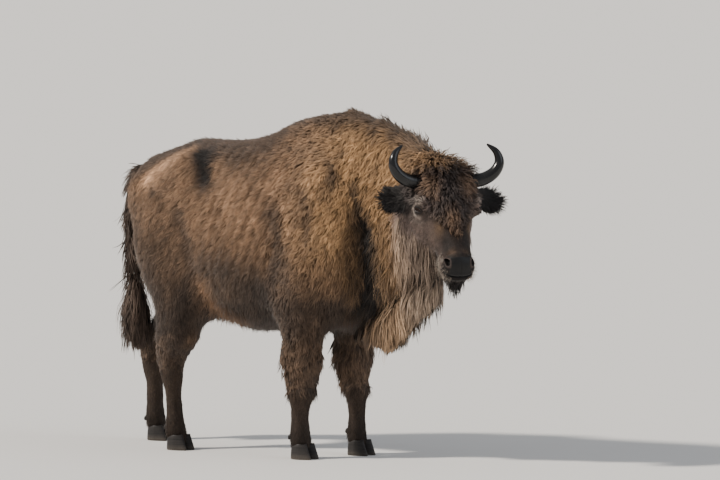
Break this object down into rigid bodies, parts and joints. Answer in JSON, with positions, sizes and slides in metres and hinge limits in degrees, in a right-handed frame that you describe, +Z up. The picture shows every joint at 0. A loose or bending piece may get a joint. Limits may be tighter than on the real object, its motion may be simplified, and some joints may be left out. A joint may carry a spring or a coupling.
{
  "type": "wisent",
  "caption": "Life-size standing wisent (European bison) cow in spring coat, humped shoulders, short curved horns, head low and turned to its right.",
  "frame": {"origin": "middle of the whole animal's box at floor level, under the soles", "axes": "+X forward along the body, +Y to the animal's left, +Z up"},
  "size_m": [2.2476, 0.7058, 1.6531],
  "materials": {
    "coat": "woolly brown coat, golden on the hump and neck",
    "dark_coat": "short dark brown coat of face, ears, legs and tail",
    "mane": "long hanging hair of throat and chin",
    "horn": "dark grey horn, ringed at the base, smooth at the tip",
    "hoof": "dull black hoof horn",
    "eye": "wet dark brown eye"
  },
  "bodies": {
    "root": {"beard": "mane", "claw_foreleg_left_inner": "hoof", "claw_foreleg_left_outer": "hoof", "claw_foreleg_right_inner": "hoof", "claw_foreleg_right_outer": "hoof", "claw_hindleg_left_inner": "hoof", "claw_hindleg_left_outer": "hoof", "claw_hindleg_right_inner": "hoof", "claw_hindleg_right_outer": "hoof", "dewclaw_foreleg_left_inner": "hoof", "dewclaw_foreleg_left_outer": "hoof", "dewclaw_foreleg_right_inner": "hoof", "dewclaw_foreleg_right_outer": "hoof", "dewclaw_hindleg_left_inner": "hoof", "dewclaw_hindleg_left_outer": "hoof", "dewclaw_hindleg_right_inner": "hoof", "dewclaw_hindleg_right_outer": "hoof", "ear_left": "dark_coat", "ear_right": "dark_coat", "eye_left": "eye", "eye_right": "eye", "foreleg_left_lower": "dark_coat", "foreleg_left_upper": "dark_coat", "foreleg_right_lower": "dark_coat", "foreleg_right_upper": "dark_coat", "head": "dark_coat", "hindleg_left_lower": "dark_coat", "hindleg_left_upper": "dark_coat", "hindleg_right_lower": "dark_coat", "hindleg_right_upper": "dark_coat", "horn_left": "horn", "horn_right": "horn", "lower_jaw": "dark_coat", "neck": "coat", "tail": "dark_coat", "tail_tuft": "dark_coat", "throat_mane": "mane", "trunk": "coat"}
  },
  "joints": []
}
